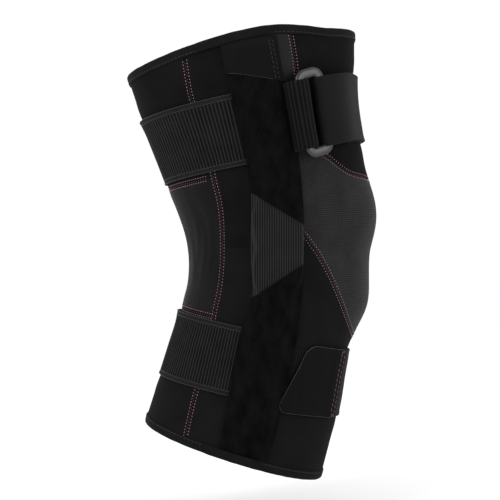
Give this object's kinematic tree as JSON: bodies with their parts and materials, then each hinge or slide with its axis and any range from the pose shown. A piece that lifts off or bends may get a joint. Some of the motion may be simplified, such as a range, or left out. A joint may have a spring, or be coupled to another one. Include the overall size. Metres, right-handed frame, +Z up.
{
  "type": "hinged knee brace",
  "caption": "Slip-on neoprene knee brace with two geared side hinges in pockets, ribbed elastic straps, a strap ring, hook tabs and an open mesh kneecap panel.",
  "frame": {"origin": "knee centre, midway between the two hinges", "axes": "+Z up the leg, +X to the front (kneecap), -Y to the lateral side, +Y to the medial side"},
  "size_m": [0.1917, 0.1722, 0.3473],
  "materials": {
    "binding_fabric": "folded edge tape",
    "cap_plastic": "dipped vinyl",
    "foam": "closed-cell foam",
    "loop_fabric": "brushed loop pile",
    "mesh_fabric": "open woven mesh over neoprene",
    "neoprene": "matt jersey-faced neoprene",
    "nylon": "natural nylon",
    "ribbed_elastic": "ribbed elastic webbing",
    "ring_plastic": "glossy moulded nylon",
    "rivet_steel": "zinc plated steel",
    "steel": "stamped steel",
    "strap_fabric": "smooth laminated strap",
    "stretch_fabric": "thin smooth stretch knit with a soft sheen"
  },
  "bodies": {
    "thigh": {"thigh_front_panel": "neoprene", "thigh_medial_panel": "neoprene", "thigh_back_panel": "neoprene", "thigh_lateral_panel": "neoprene", "top_binding": "binding_fabric", "thigh_back_strap": "ribbed_elastic", "thigh_front_strap": "strap_fabric", "ring_loop": "ribbed_elastic", "lateral_upper_bar": "steel", "lateral_upper_tip_cap": "cap_plastic", "lateral_upper_pocket": "loop_fabric", "medial_upper_bar": "steel", "medial_upper_tip_cap": "cap_plastic", "medial_upper_pocket": "loop_fabric"},
    "lateral_link": {"lateral_inner_plate": "steel", "lateral_outer_plate": "steel", "lateral_rivets": "rivet_steel", "lateral_washers": "nylon", "lateral_stop_pins": "rivet_steel", "lateral_condyle_pad": "foam", "patella_panel": "mesh_fabric", "popliteal_panel": "stretch_fabric", "lateral_knee_panel": "neoprene", "medial_knee_panel": "neoprene", "lateral_rib_panel": "ribbed_elastic"},
    "medial_link": {"medial_inner_plate": "steel", "medial_outer_plate": "steel", "medial_rivets": "rivet_steel", "medial_washers": "nylon", "medial_stop_pins": "rivet_steel", "medial_condyle_pad": "foam", "medial_rib_panel": "ribbed_elastic"},
    "calf": {"calf_front_panel": "neoprene", "calf_medial_panel": "neoprene", "calf_back_panel": "neoprene", "calf_lateral_panel": "neoprene", "bottom_binding": "binding_fabric", "calf_back_strap": "ribbed_elastic", "calf_front_strap": "strap_fabric", "calf_side_elastic": "ribbed_elastic", "lateral_lower_bar": "steel", "lateral_lower_tip_cap": "cap_plastic", "lateral_lower_pocket": "loop_fabric", "medial_lower_bar": "steel", "medial_lower_tip_cap": "cap_plastic", "medial_lower_pocket": "loop_fabric"},
    "thigh_buckle": {"strap_ring": "ring_plastic"},
    "thigh_tab": {"thigh_strap_tab": "strap_fabric"},
    "calf_tab": {"calf_strap_tab": "strap_fabric"},
    "lateral_flap": {"lateral_cap_flap": "loop_fabric"},
    "medial_flap": {"medial_cap_flap": "loop_fabric"}
  },
  "joints": [
    {"name": "lateral_upper_pivot", "type": "hinge", "parent": "thigh", "child": "lateral_link", "pos_m": [0, -0.0666, 0.00915], "axis": [0, 1, 0], "range_deg": [-11, 35], "stiffness_Nm_per_rad": 0.15, "deforming": ["patella_panel", "popliteal_panel", "lateral_knee_panel", "medial_knee_panel", "lateral_rib_panel", "thigh_back_panel", "thigh_back_strap"]},
    {"name": "lateral_lower_pivot", "type": "hinge", "parent": "lateral_link", "child": "calf", "pos_m": [0, -0.0666, -0.00915], "axis": [0, 1, 0], "range_deg": [-11, 35], "deforming": ["calf_back_panel", "calf_back_strap"]},
    {"name": "medial_upper_pivot", "type": "hinge", "parent": "thigh", "child": "medial_link", "pos_m": [0, 0.0666, 0.00915], "axis": [0, 1, 0], "range_deg": [-11, 35], "deforming": ["medial_rib_panel"]},
    {"name": "ring_swing", "type": "hinge", "parent": "thigh", "child": "thigh_buckle", "pos_m": [0.01854, -0.07017, 0.10056], "axis": [0.1274, 0.1051, -0.9863], "range_deg": [0, 15]},
    {"name": "thigh_tab_peel", "type": "hinge", "parent": "thigh", "child": "thigh_tab", "pos_m": [0.04315, -0.0489, 0.10512], "axis": [-0.0809, -0.0793, 0.9936], "range_deg": [-60, 0]},
    {"name": "calf_tab_peel", "type": "hinge", "parent": "calf", "child": "calf_tab", "pos_m": [0.04435, -0.03079, -0.10138], "axis": [0.1994, 0, 0.9799], "range_deg": [0, 75]},
    {"name": "lateral_flap_lift", "type": "hinge", "parent": "thigh", "child": "lateral_flap", "pos_m": [-0.02018, -0.08476, 0.14419], "axis": [0.989, 0, 0.1478], "range_deg": [-75, 0]},
    {"name": "medial_flap_lift", "type": "hinge", "parent": "thigh", "child": "medial_flap", "pos_m": [-0.02018, 0.08476, 0.14419], "axis": [0.989, 0, 0.1478], "range_deg": [0, 75]}
  ],
  "couplings": [
    {"joint": "lateral_lower_pivot", "follows": "lateral_upper_pivot", "ratio": 1},
    {"joint": "medial_upper_pivot", "follows": "lateral_upper_pivot", "ratio": 1}
  ]
}
